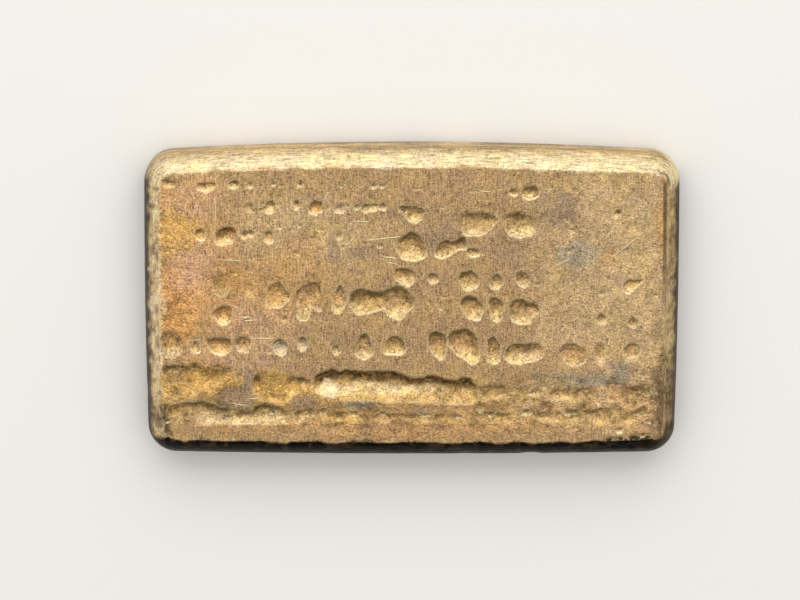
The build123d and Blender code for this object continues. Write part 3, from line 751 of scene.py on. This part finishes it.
def paint(points, ground, patches):
    """Lays soft patches of tone over a ground: one tone by name, or a colour for each point."""
    bent = bend(points, 1.1, 3.6, 91) - TABLE_ZERO
    fringe = 0.30 * rough_noise(points, 4.0, 95, 3) + 0.40 * rough_noise(points, 0.9, 98, 2)
    colour = np.tile(linear(TONES[ground]), (len(points), 1)) if isinstance(ground, str) else ground
    for x, y, length, height, tone, strength in patches:
        away = np.hypot((bent[:, 0] - x) / length, (bent[:, 1] - y) / height)
        colour = mixed(colour, tone, strength * smooth_step(1.15 - away + fringe, 0, 0.6))
    return colour


land_tone = paint(face_3d, "khaki", LAND_PATCHES)
hollow_tone = paint(face_3d, land_tone, HOLLOW_PATCHES)
# The wall at the upper edge of each hollow faces away from the lamp and was never rubbed: dirt stays there,
# and it is darkened further as painted shade. The slope at the lower edge faces the lamp and was rubbed as
# the bar was wiped: it is lightened, partly for that wear and partly as a painted highlight.
steep = smooth_step(pit_full / pit_radius, 0.05, 0.28)
deep_pit = np.clip(within_pit / np.minimum(0.40, 0.6 * pit_radius), 0, 1) * steep
small_pit = smooth_step(-pit_radius, -0.65, -0.25)
sharp = smooth_step(trough_full, 0.3, 0.8)
# Painted shade with dirt: darker on the upper walls of the pits and troughs, which face away from the lamp
dirt_and_painted_shade = np.maximum(
    0.72 * smooth_step(up_in_pit + 0.75 * grain_noise + 0.9 * small_pit, -0.20, 0.75)
    * np.minimum(deep_pit * (1 + small_pit), 1),
    smooth_step(up_in_trough + (0.9 - 0.4 * sharp) * grain_noise, 0.2 * sharp - 0.2, 0.6)
    * smooth_step(troughs, 0.03, 0.15 + 0.3 * sharp) * (0.6 + 0.4 * sharp),
)
# Painted highlight with wear: lighter on the lower slopes of the pits, which face the lamp
wiped_and_highlit = np.maximum(
    (0.85 - 0.6 * small_pit) * smooth_step(-up_in_pit + 0.5 * lump_noise, 0.0, 0.75) * deep_pit,
    0.10 * smooth_step(-up_in_trough, 0.0, 0.4) * smooth_step(troughs, 0.03, 0.30),
)
hollow_tone = mixed(hollow_tone, "wiped and highlit gold", wiped_and_highlit)
deep_enough = smooth_step(pit_full, 0.05, 0.30)
# Painted highlight with wear: a light line at the lower edge of each pit
edge_wear_and_highlight = (0.04 + 0.86 * smooth_step(-up_in_pit, -0.05, 0.8)) * deep_enough * (1 - 0.3 * small_pit)
# Painted shade with dirt: a dark line at the upper edge of each pit
edge_dirt_and_shade = smooth_step(up_in_pit + 0.3 * grain_noise, -0.1, 0.5) * deep_enough
face_tone = land_tone + inside[:, None] * (hollow_tone - land_tone)
# Between the lumps the skin kept its dirt, and on top of them it was rubbed
mottle = lumpy * (1 - inside) + 0.6 * in_trough
face_tone *= np.clip(1 + mottle * (0.45 * grain_noise + 0.55 * lump_noise), 0.3, 1.8)[:, None]
print("face tone", face_tone.mean(0).round(3))

# %% Tones of the rim and the mould face
# The way a side faces, the tones of its shoulder and its wall, the slopes from one to the other, its specks
# Darker walls on the left, right and lower sides, and the black brown lower side, are painted shade
RIM_TONES = [
    ((-1, 0), "warm cream", "dark grey", (41, 63), 0.45), ((1, 0), "fawn", "dark brown", (46, 66), 0.50),
    ((0, -1), "black brown", "black brown", (56, 78), 0.20), ((0, 1), "deep straw", "fawn", (56, 78), 0.12),
]


def side_share(points, out, side):
    """How much points belong to a side, with an uneven change at the corners."""
    start = {(0, 1): 0.15, (0, -1): 0.30}.get(side, 0.45)  # the long sides reach round the corners
    return smooth_step(out @ side + 0.25 * rough_noise(points, 2.4, 101, 3), start, start + 0.35)


def rim_tone_at(points, out, turn):
    """Shoulder and wall tones from the way they face and how far they lean from level, the walls with painted
    shade.
    """
    slope = np.degrees(turn) + 11 * rough_noise(points, 1.1, 106, 3)
    colour = np.tile(linear(TONES["gold brown"]), (len(points), 1))
    specks, bands = rough_noise(points, 0.6, 131, 2), rough_noise(points * (0.12, 0.12, 1), 0.8, 151, 2)
    for side, shoulder, wall, slopes, speckled in RIM_TONES:
        # Painted shade: the wall's darker tone takes over from the shoulder's as the rim turns upright
        upright = smooth_step(slope, *slopes)[:, None]
        own = linear(TONES[shoulder]) + upright * (linear(TONES[wall]) - linear(TONES[shoulder]))
        own *= np.clip(1 + speckled * specks + 0.8 * upright[:, 0] * bands, 0.2, 1.6)[:, None]
        colour += side_share(points, out, side)[:, None] * (own - colour)
    upper, lower = side_share(points, out, (0, 1)), side_share(points, out, (0, -1))
    dull = 0.3 * side_share(points, out, (1, 0)) * smooth_step(-points[:, 1], 6, 16)
    colour = mixed(colour, "brown", dull)
    stains = smooth_step(rough_noise(points, 0.9, 121, 2), 0.0, 0.6) * (1 - 0.8 * upper)
    colour = mixed(colour, "brown", 0.60 * stains)
    streaks = lower * smooth_step(rough_noise(points * (0.25, 1, 1), 1.1, 111, 3), 0.05, 0.5)
    colour = mixed(colour, "dark brown", 0.35 * streaks)
    low = smooth_step(-points[:, 2], -2.2, -0.2) * (1 - lower)
    return colour + (0.6 * low)[:, None] * (linear(TONES["olive"]) * 0.8 - colour)


# Both tones are stored on every point, and the material changes from one to the other along a wandering line
out_around = np.tile(wall_out, (len(ROWS_UNDER), 1))
under = np.repeat(np.array([turn for _, _, turn in ROWS_UNDER]), AROUND)
past = np.stack(from_corner(*face_xy.T), 1)
out_face = np.eye(2)[np.argmax(past, 1)]
in_corner = (past > 0).all(1)
out_face[in_corner] = (past / np.linalg.norm(past, axis=1, keepdims=True))[in_corner]
out_face *= np.sign(face_xy)
mould_tone = paint(mould_3d, "olive", [
    (-20, 5, 16, 12, "gold brown", 0.6), (18, -6, 14, 10, "purple grey", 0.5),
    (26, 12, 9, 7, "warm brown", 0.5), (-6, -14, 14, 6, "dark brown", 0.4),
])
tone = np.concatenate([face_tone, paint(rim_points, "khaki", LAND_PATCHES), mould_tone])
# Straw at the upper right corner is a painted highlight, dark patches at the lower corners painted shade
RIM_PATCHES = [  # measured as the pits are
    (38.4, 19.6, 1.8, 2.2, "straw", 0.9), (36.9, 19.4, 0.9, 0.35, "brown", 0.8),
    (37.6, 18.4, 0.35, 0.9, "brown", 0.7), (37.6, -20.4, 2.4, 2.2, "dark brown", 0.75),
    (-38.4, -18.6, 1.2, 1.6, "dark grey", 0.6), (38.6, -14, 1.4, 5, "brown", 0.4),
]
rim_tone = np.concatenate([
    paint(face_3d, rim_tone_at(face_3d, out_face, np.full(FACE_COUNT, crease_turn)), RIM_PATCHES),
    paint(rim_points, rim_tone_at(rim_points, out_around, under), RIM_PATCHES),
    mould_tone,
])
print("tones", len(tone), "and", len(rim_tone))

# %% [markdown]
# ## Scratches
# A scratch is a fifth of a millimetre wide, which is less than one cell of the face, so it can't be painted
# on the points. But a distance can: each point stores how far it is from the nearest scratch, with a sign
# for the side, and where that number passes zero the material draws a thin line. A second number fades the
# line at its ends.

# %% Scratches on the land
SCRATCHES = [  # from x, y to x, y, measured as the pits are
    (28.4, 5.6, 31.2, 8.0), (31.0, 7.8, 34.5, 10.7), (31.9, 10.1, 33.0, 10.8), (-9.1, 11.9, -8.5, 12.3),
    (-8.5, 12.3, -6.4, 12.2), (-7.2, 9.3, -1.4, 10.0), (-28.9, 20.0, -29.0, 17.5),
    (-29.0, 15.8, -29.1, 12.0), (-26.0, -2.4, -24.1, -2.5), (-25.0, -3.0, -23.2, -2.9),
    (-24.6, -5.7, -20.6, -5.8), (-34.0, -6.1, -31.4, -6.0), (-33.0, -7.6, -31.6, -8.2),
    (-29.4, 6.4, -24.6, 6.2), (20.4, 5.0, 23.6, 6.6), (-9.8, 8.6, -8.6, 9.6), (-27.4, -15.8, -24.2, -16.3),
    (-24.6, -15.1, -22.9, -15.1), (-4.6, 6.9, -2.2, 6.6), (-3.6, 6.0, -2.0, 5.7), (9.9, 16.9, 11.6, 16.8),
]
SCRATCH_REACH = 1.2  # how far from a scratch its distance is stored
place = face_xy - TABLE_ZERO
broken = 0.5 + 0.5 * smooth_step(rough_noise(face_3d, 1.1, 126, 2), -0.4, 0.2)
scratch_near, scratch_across, nearest = np.zeros(len(place)), np.ones(len(place)), np.full(len(place), FAR)
for x0, y0, x1, y1 in SCRATCHES:
    run = np.array([x1 - x0, y1 - y0])
    long = np.linalg.norm(run)
    along = (place - (x0, y0)) @ run / long
    side = (place - (x0, y0)) @ (-run[1], run[0]) / long
    away = np.hypot(side, np.maximum(np.maximum(-along, along - long), 0))
    here = (away < SCRATCH_REACH) & (away < nearest)
    ends = smooth_step(along, -0.3, 0.3 * long) * smooth_step(long - along, -0.3, 0.2 * long)
    scratch_near[here] = (ends * smooth_step(SCRATCH_REACH - away, 0, 0.4) * broken)[here]
    scratch_across[here] = side[here]
    nearest = np.minimum(nearest, away)
print("scratches", len(SCRATCHES), "touch", int((scratch_near > 0).sum()), "points")

# %% [markdown]
# ## What the material has to know
# The metal's finish changes with the shape: brushed where the press and the wiping touched it, grainy in
# the hollows, rubbed bright on edges that stand out. Each of these is worked out here from the mesh and
# stored on its points as a number from 0 to 1, and the material reads them by name.

# %% Wear, grain and flow
def over_mesh(face=0.0, rim=0.0, mould=0.0):
    """One number for each point of the mesh, from those of its pressed face, its rim and its mould face."""
    parts = zip((face, rim, mould), (FACE_COUNT, RIM_COUNT, len(mould_3d)))
    return np.concatenate([np.broadcast_to(part, count) for part, count in parts])


z_grid = face_z.reshape(ROWS + 1, COLUMNS + 1)
neighbours = sum(np.roll(z_grid, step, axis) for axis in (0, 1) for step in (1, -1)) / 4
stands_out = z_grid - neighbours
stands_out[[0, -1]], stands_out[:, [0, -1]] = 0.0, 0.0
wear_face = smooth_step(stands_out.ravel(), 0.008, 0.05)
GRAIN_PATCHES = [  # x, y, half length, half height, strength: where the face kept its cast grain
    (-36, 2, 4, 16, 0.9), (-35, -14, 8, 6, 0.9), (28, 2, 12, 22, 0.5), (0, -17.5, 40, 4.2, 0.8),
    (34, -14, 6, 8, 0.9), (9.3, 12.2, 3, 2.4, 0.8), (16, 12, 3, 2.4, 0.8), (-14.3, 10, 2.4, 2.6, 0.5),
    (-28, 2, 4, 4, 0.6), (20, -14.5, 14, 2.6, 0.8),
]
grain_face = np.maximum(inside, share_of(face_3d, GRAIN_PATCHES, 1.2, 131))
rim_share = smooth_step(under, crease_turn, crease_turn + math.radians(6))
FAR_BEYOND = 3.0  # the most that is stored of how far a point lies beyond the crease
LAST_STEP = 0.24  # from the last point of the outline back to its first
FIRST_DROP = 0.25  # from the crease to the first row under it
steps = np.concatenate([[0], np.cumsum(np.linalg.norm(np.diff(wall_points, axis=0), axis=1))])
circle = steps / (steps[-1] + LAST_STEP) * 2 * math.pi
ring_radius = steps[-1] / (2 * math.pi)
row_steps = [math.dist(upper[:2], lower[:2]) for upper, lower in zip(ROWS_UNDER, ROWS_UNDER[1:])]
drop = FIRST_DROP + np.concatenate([[0], np.cumsum(row_steps)])
round_ring = ring_radius * np.column_stack([np.cos(circle), np.sin(circle)])
flow_rim = np.column_stack([np.tile(round_ring, (len(ROWS_UNDER), 1)), np.repeat(drop, AROUND)])
flow_face = np.zeros((FACE_COUNT, 3))
flow_face[border_index] = flow_rim[:AROUND] * (1, 1, 0)
flow_mould = np.column_stack([mould_3d[:, :2], np.full(len(mould_3d), drop[-1] + RING_WIDTH)])
flow = np.concatenate([flow_face, flow_rim, flow_mould])
beyond = over_mesh(CREASE_INSET - inset, np.repeat(drop, AROUND) - drop[0], FAR_BEYOND)
# Dirt stayed in the crease at the right end, most of it in the upper half
wandering = 2.5 * rough_noise(all_points, 3.0, 141, 3)
in_crease = smooth_step(-np.abs(beyond - 0.05), -0.42, -0.08) * smooth_step(all_points[:, 0], 36.0, 36.4)
in_crease *= 0.4 + 0.6 * smooth_step(all_points[:, 1] + wandering, 0, 14)
in_crease *= smooth_step(wandering, -1.4, 0.4)
tone = mixed(tone, "brown", 0.8 * in_crease)
near_rim, facing = np.concatenate([face_3d, rim_points]), np.concatenate([out_face, out_around])
shift = 0.35 * side_share(near_rim, facing, (0, -1)) - 0.70 * side_share(near_rim, facing, (1, 0))
beyond[: len(shift)] += shift
points_of = {
    "pit_edge": over_mesh(np.clip(within_pit, -1, 1), -1, -1),
    "edge_wear_and_highlight": over_mesh(edge_wear_and_highlight),
    "edge_dirt_and_shade": over_mesh(edge_dirt_and_shade),
    "dirt_and_painted_shade": over_mesh(dirt_and_painted_shade),
    "scratch_near": over_mesh(scratch_near),
    "scratch_across": over_mesh(scratch_across, 1, 1),
    "grain": over_mesh(grain_face, 0.25, 0.7),
    "wear": over_mesh(wear_face),
    "rim": over_mesh(0, rim_share, 1),
    "beyond": np.clip(beyond, -FAR_BEYOND, FAR_BEYOND),
}
print({name: values.mean().round(3) for name, values in points_of.items()})

# %% The object
mesh = bpy.data.meshes.new("ingot_cast")
mesh.from_pydata((all_points * MM).tolist(), [], all_faces)
mesh.update()
for name, values in points_of.items():
    mesh.attributes.new(name, "FLOAT", "POINT").data.foreach_set("value", values.astype(np.float32))
flow_data = mesh.attributes.new("flow", "FLOAT_VECTOR", "POINT").data
flow_data.foreach_set("vector", flow.astype(np.float32).ravel())
for name, colours in (("tone", tone), ("rim_tone", rim_tone)):
    rgba = np.column_stack([np.clip(colours, 0, 1), np.ones(len(colours))]).astype(np.float32)
    mesh.attributes.new(name, "FLOAT_COLOR", "POINT").data.foreach_set("color", rgba.ravel())
mesh.shade_smooth()
ingot = bpy.data.objects.new("ingot_cast", mesh)
bpy.context.scene.collection.objects.link(ingot)
print("closed", not mesh.validate(), "faces", len(mesh.polygons))

# %% [markdown]
# ## The metal
# The surface is bare cast metal under a thin tarnish, so it is a full metal: metallic 1, and its colour is
# the colour of its reflection. Rubbed metal of this kind has a roughness near 0.4 and cast skin near 0.5.
# Six patterns sit on the painted tones, each at its real size: brush lines up and down the land, weaker
# ones across it, fine crinkles, the cast grain, broad blotches, and on the rim the long laps that the metal
# froze in. Each is made once and, but for the blotches, used twice, in the colour and in the height that
# bends the light. The colour change is what reads from afar, and the height from near. Thin lines lie over
# them: the lower edges of the pits are rubbed and carry a painted highlight, parts of the crease are rubbed
# light, the upper edges of the pits are dark with dirt and painted shade, and hair lines run all over.

# %% A helper for nodes
def add_node(tree, kind, inputs=None, output=0, **settings):
    """Adds a node with its settings, fills its inputs with values or links, and gives one of its outputs."""
    node = tree.nodes.new("ShaderNode" + kind)
    for name, value in settings.items():
        setattr(node, name, value)
    for socket, value in (inputs or {}).items():
        if isinstance(value, bpy.types.NodeSocket):
            tree.links.new(value, node.inputs[socket])
        else:
            node.inputs[socket].default_value = value
    return node.outputs[output] if len(node.outputs) else node


def new_material(name):
    """A material with an empty tree of nodes."""
    material = bpy.data.materials.new(name)
    material.use_nodes = True
    material.node_tree.nodes.clear()
    return material, material.node_tree


# %% What the mesh tells the metal
metal, tree = new_material("toned_cast_and_pressed_metal")
here = add_node(tree, "TexCoord", output="Object")
in_mm = add_node(tree, "VectorMath", {0: here, "Scale": 1 / MM}, operation="SCALE")
on_mesh = {
    name: add_node(tree, "Attribute", output="Fac", attribute_name=name, attribute_type="GEOMETRY")
    for name in points_of
}
toned, rim_toned = (
    add_node(tree, "Attribute", output="Color", attribute_name=name, attribute_type="GEOMETRY")
    for name in ("tone", "rim_tone")
)
flowing = add_node(tree, "Attribute", output="Vector", attribute_name="flow", attribute_type="GEOMETRY")
not_grain = add_node(tree, "Math", {0: 1.0, 1: on_mesh["grain"]}, operation="SUBTRACT")
not_rim = add_node(tree, "Math", {0: 1.0, 1: on_mesh["rim"]}, operation="SUBTRACT")
mostly_face = add_node(tree, "Math", {0: on_mesh["rim"], 1: -0.4, 2: 1.0}, operation="MULTIPLY_ADD")
brushed = add_node(tree, "Math", {0: not_grain, 1: not_rim}, operation="MULTIPLY")
print("read from the mesh:", sorted(on_mesh))

# %% Patterns of the cast and pressed metal
# Coordinates, sizes in mm along them, detail, distortion, where it shows, change of brightness, height in mm
PATTERNS = {
    "brush lines": (in_mm, (0.20, 1.5, 50.0), 3.0, 0.3, brushed, 1.8, 0.030),
    "lines across": (in_mm, (1.2, 0.26, 50.0), 2.0, 0.3, brushed, 0.5, 0.010),
    "crinkles": (in_mm, (0.29, 0.26, 0.29), 3.0, 0.8, mostly_face, 2.6, 0.11),
    "cast grain": (in_mm, (0.70, 0.70, 0.70), 4.0, 0.9, on_mesh["grain"], 1.8, 0.24),
    "blotches": (in_mm, (3.0, 3.0, 3.0), 4.0, 0.0, None, 0.6, 0.0),
    "laps of the rim": (flowing, (2.4, 2.4, 0.27), 4.0, 0.5, on_mesh["rim"], 2.2, 0.18),
}
brightness, height = 1.0, 0.0
for vector, sizes, detail, distortion, where, change, rise in PATTERNS.values():
    finer = [1 / size for size in sizes]
    scaled = add_node(tree, "VectorMath", {0: vector, 1: finer}, operation="MULTIPLY")
    noise = add_node(tree, "TexNoise", {
        "Vector": scaled, "Scale": 1.0, "Detail": detail, "Roughness": 0.62, "Distortion": distortion,
    })
    centred = add_node(tree, "Math", {0: noise, 1: 0.5}, operation="SUBTRACT")
    if where is not None:
        centred = add_node(tree, "Math", {0: centred, 1: where}, operation="MULTIPLY")
    brightness = add_node(tree, "Math", {0: centred, 1: change, 2: brightness}, operation="MULTIPLY_ADD")
    if rise:
        height = add_node(tree, "Math", {0: centred, 1: rise, 2: height}, operation="MULTIPLY_ADD")
print("patterns:", list(PATTERNS))

# %% Noises of the metal, and where each one shows
NOISES = {  # size in mm, detail, roughness
    "fine": (0.45, 3.0, 0.6), "specks": (0.75, 3.0, 0.6), "pores": (0.7, 3.0, 0.6), "tints": (3.2, 7.0, 0.75),
    "crease": (2.8, 1.5, 0.5),
}
noises = {
    name: add_node(tree, "TexNoise", {0: in_mm, "Scale": 1 / size, "Detail": detail, "Roughness": rough})
    for name, (size, detail, rough) in NOISES.items()
}
fine_wander, crease_wander = (
    add_node(tree, "Math", {0: noises[name], 1: 0.5}, operation="SUBTRACT") for name in ("fine", "crease")
)
SPOTS = {  # noise, the range of it that counts, the shares at the two ends, interpolation
    "ragged": ("fine", (0.42, 0.58), (0.45, 1.60), "LINEAR"),
    "broken": ("fine", (0.45, 0.60), (0.0, 0.5), "LINEAR"),
    "tints": ("tints", (0.38, 0.62), (0.0, 1.0), "LINEAR"),
    "specks": ("specks", (0.36, 0.60), (0.50, 0.95), "SMOOTHSTEP"),
    "pores": ("pores", (0.40, 0.30), (0.0, 0.4), "SMOOTHSTEP"),
}
spots = {
    name: add_node(
        tree, "MapRange", {0: noises[noise], 1: start, 2: end, 3: first, 4: last}, interpolation_type=kind
    )
    for name, (noise, (start, end), (first, last), kind) in SPOTS.items()
}
print("noises:", list(noises), "spots:", list(spots))

# %% Thin lines: the edges of pits, scratches, the crease and hair lines
LINES = {  # what it follows; its middle, half width, solid half width and wandering, in mm; its strength
    # Painted highlight at the lower edge of a pit and painted shade at its upper edge, with wear and dirt
    "rubbed and highlit edge": ("pit_edge", 0.06, 0.20, 0.060, 0.60, 1.0),
    "dirty and shaded edge": ("pit_edge", 0.16, 0.32, 0.080, 0.25, 0.6),
    "scratch": ("scratch_across", 0.0, 0.13, 0.039, 0.25, 1.0),
    "rubbed crease": ("beyond", 0.0, 0.16, 0.048, 1.20, 1.0),
}
SCRATCH_BURR = 0.04  # the height of the ridge that a scratch threw up
lines = {}
for name, (followed, middle, width, solid, bending, strength) in LINES.items():
    bent = add_node(
        tree, "Math", {0: fine_wander, 1: bending, 2: on_mesh[followed]}, operation="MULTIPLY_ADD"
    )
    from_middle = add_node(tree, "Math", {0: bent, 1: middle}, operation="SUBTRACT")
    distance = add_node(tree, "Math", {0: from_middle}, operation="ABSOLUTE")
    lines[name] = add_node(
        tree, "MapRange", {"Value": distance, "From Min": width, "From Max": solid, "To Max": strength},
        interpolation_type="SMOOTHSTEP",
    )
# Painted highlight with wear along the lower edges of the pits, broken up
edge_highlight_share = add_node(tree, "Math", {0: on_mesh["edge_wear_and_highlight"], 1: spots["ragged"]}, operation="MULTIPLY")
scratch_share = add_node(
    tree, "Math", {0: lines["scratch"], 1: on_mesh["scratch_near"]}, operation="MULTIPLY"
)
height = add_node(tree, "Math", {0: scratch_share, 1: SCRATCH_BURR, 2: height}, operation="MULTIPLY_ADD")
HAIR_SIZES, HAIR_LIGHT = (0.9, 1.5, 0.9), 0.30  # millimetres between hair lines; how much lighter they are
hair = add_node(tree, "VectorMath", {0: in_mm, 1: [1 / size for size in HAIR_SIZES]}, operation="MULTIPLY")
hair_noise = add_node(
    tree, "TexNoise", {"Vector": hair, "Scale": 1.0, "Detail": 4.0, "Roughness": 0.65, "Distortion": 0.6}
)
hair_middle = add_node(tree, "Math", {0: hair_noise, 1: 0.5}, operation="SUBTRACT")
from_hair = add_node(tree, "Math", {0: hair_middle}, operation="ABSOLUTE")
hairs = add_node(
    tree, "MapRange", {"Value": from_hair, "From Min": 0.022, "From Max": 0.004, "To Max": HAIR_LIGHT}
)
brightness = add_node(tree, "Math", {0: brightness, 1: hairs}, operation="ADD")
print("thin lines:", list(lines))

# %% Colour, from the painted tone through the dirt and painted shade to the rubbed edges and painted highlights
CREASE_BEND = 1.7  # how far the change to the rim's tone wanders off the crease, in millimetres
from_crease = add_node(
    tree, "Math", {0: crease_wander, 1: CREASE_BEND, 2: on_mesh["beyond"]}, operation="MULTIPLY_ADD"
)
rim_part = add_node(
    tree, "MapRange", {"Value": from_crease, "From Min": -0.24, "From Max": 0.24},
    interpolation_type="SMOOTHSTEP",
)
both = add_node(tree, "Mix", {0: rim_part, 6: toned, 7: rim_toned}, output=2, data_type="RGBA")
changed = add_node(tree, "HueSaturation", {"Color": both, "Value": brightness, "Fac": 1.0})
cooler, warmer = (0.97, 0.95, 1.07, 1), (1.03, 1.03, 0.92, 1)
tint = add_node(tree, "Mix", {0: spots["tints"], 6: cooler, 7: warmer}, output=2, data_type="RGBA")
shown = add_node(
    tree, "Mix", {0: 1.0, 6: changed, 7: tint}, output=2, data_type="RGBA", blend_type="MULTIPLY"
)
# Umber lays on dirt with painted shade; straw lays on wear and the painted highlight of the lower pit edges
LAID_ON = {  # what each tone covers, in turn: pairs to multiply, of which the largest counts
    "umber": [(lines["dirty and shaded edge"], on_mesh["edge_dirt_and_shade"]), (spots["specks"], on_mesh["dirt_and_painted_shade"])],
    "brown": [(spots["pores"], 1.0)],
    "straw": [
        (on_mesh["wear"], 0.6), (lines["rubbed and highlit edge"], edge_highlight_share), (scratch_share, 1.0),
        (lines["rubbed crease"], spots["broken"]),
    ],
}
for name, pairs in LAID_ON.items():
    share = 0.0
    for first, second in pairs:
        product = add_node(tree, "Math", {0: first, 1: second}, operation="MULTIPLY")
        share = add_node(tree, "Math", {0: product, 1: share}, operation="MAXIMUM")
    shown = add_node(
        tree, "Mix", {0: share, 6: shown, 7: (*linear(TONES[name]), 1)}, output=2, data_type="RGBA"
    )
print("metal nodes so far:", len(tree.nodes))

# %% Roughness and height
land_rough = add_node(tree, "Math", {0: on_mesh["grain"], 1: 0.10, 2: 0.42}, operation="MULTIPLY_ADD")
less_worn = add_node(tree, "Math", {0: on_mesh["wear"], 1: -0.08, 2: land_rough}, operation="MULTIPLY_ADD")
bent_light = add_node(tree, "Bump", {"Strength": 1.0, "Distance": MM, "Height": height})
shine = add_node(
    tree, "BsdfPrincipled",
    {"Base Color": shown, "Metallic": 1.0, "Roughness": less_worn, "Normal": bent_light},
)
add_node(tree, "OutputMaterial", {"Surface": shine})
ingot.data.materials.append(metal)
print("metal nodes:", len(tree.nodes))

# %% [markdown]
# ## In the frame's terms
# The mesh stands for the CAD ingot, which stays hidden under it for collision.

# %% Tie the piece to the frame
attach(ingot, "root")
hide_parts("ingot")

# %% [markdown]
# ## Floor, light and camera
# Metal shows what is around it, so the light is most of the picture. One wide soft lamp stands above and
# behind the upper long side, and the sky is brighter there than on the near side. The slopes that look up
# at the lamp shine, and the ones that look away stay dark, so every pit reads. The floor is plain and pale.

# %% Floor
FLOOR_HALF = 3.0  # metres
floor_mesh = bpy.data.meshes.new("floor")
floor_corners = [(x * FLOOR_HALF, y * FLOOR_HALF, 0) for x, y in ((-1, -1), (1, -1), (1, 1), (-1, 1))]
floor_mesh.from_pydata(floor_corners, [], [(0, 1, 2, 3)])
floor = bpy.data.objects.new("floor", floor_mesh)
bpy.context.scene.collection.objects.link(floor)
paper, paper_tree = new_material("pale_matt_paper")
matt = add_node(
    paper_tree, "BsdfPrincipled", {"Base Color": (*linear("#E4E1DB"), 1), "Roughness": 0.9, "IOR": 1.5}
)
add_node(paper_tree, "OutputMaterial", {"Surface": matt})
floor_mesh.materials.append(paper)
print("floor", FLOOR_HALF * 2, "m wide")

# %% Lamp and sky
LAMP_TILT, LAMP_AWAY, LAMP_SIZE, LAMP_WATTS = math.radians(50), 0.7, (0.9, 0.5), 2.9  # sizes in metres
lamp_data = bpy.data.lights.new("soft_lamp", "AREA")
lamp_data.shape, lamp_data.size, lamp_data.size_y, lamp_data.energy = "RECTANGLE", *LAMP_SIZE, LAMP_WATTS
lamp = bpy.data.objects.new("soft_lamp", lamp_data)
lamp.location = (0, LAMP_AWAY * math.sin(LAMP_TILT), LAMP_AWAY * math.cos(LAMP_TILT))
lamp.rotation_euler = (-LAMP_TILT, 0, 0)
bpy.context.scene.collection.objects.link(lamp)
BRIGHT_WAY = (0.0, 0.35, 0.937)  # towards the brightest sky
DARK_AT, BRIGHT_AT, DARKEST, BRIGHTEST = -0.1, 0.85, 0.06, 1.13  # how far that way, and the light there
sky = bpy.data.worlds.new("soft_sky")
sky.use_nodes = True
sky_tree = sky.node_tree
sky_tree.nodes.clear()
towards = add_node(sky_tree, "TexCoord", output="Generated")
upward = add_node(
    sky_tree, "VectorMath", {0: towards, 1: BRIGHT_WAY}, output="Value", operation="DOT_PRODUCT"
)
level = add_node(sky_tree, "MapRange", {
    "Value": upward, "From Min": DARK_AT, "From Max": BRIGHT_AT, "To Min": DARKEST, "To Max": BRIGHTEST,
})
glow = add_node(sky_tree, "Background", {"Color": (1, 1, 1, 1), "Strength": level})
add_node(sky_tree, "OutputWorld", {"Surface": glow})
bpy.context.scene.world = sky
print("lamp", lamp.location[:])

# %% [markdown]
# ## The camera
# The photograph looks at the pressed face from 15 degrees towards the upper long side, with a long lens.
# The object is stored lying down, so here the camera looks down on it, and the image's up is +Y.

# %% Camera
VIEW_TILT, VIEW_ROLL, VIEW_AWAY = math.radians(15), math.radians(-0.05), 550.0
IMAGE_WIDTH, FRAME_WIDTH, PIXELS_PER_MM = 800, 36.0, 6.675
IMAGE_MIDDLE = (-1.74, 1.10)  # where the image's middle falls on the face, in millimetres
SCALE_BELOW = 3.0  # the scale holds near the widest level, about this far under the face
camera_data = bpy.data.cameras.new("long_lens")
camera_data.sensor_width = FRAME_WIDTH
camera_data.lens = PIXELS_PER_MM * (VIEW_AWAY + SCALE_BELOW) * FRAME_WIDTH / IMAGE_WIDTH
camera_data.clip_start, camera_data.clip_end = 0.05, 20
camera = bpy.data.objects.new("camera", camera_data)
look = np.array([0, math.sin(VIEW_TILT), math.cos(VIEW_TILT)])
camera.location = (np.array([*IMAGE_MIDDLE, THICKNESS]) + look * VIEW_AWAY) * MM
camera.rotation_mode = "ZXY"  # the roll comes first, about the line of sight
camera.rotation_euler = (-VIEW_TILT, 0, -VIEW_ROLL)
bpy.context.scene.collection.objects.link(camera)
bpy.context.scene.camera = camera
bpy.context.scene.view_settings.view_transform = "Standard"
print("lens", round(camera_data.lens, 1), "mm")
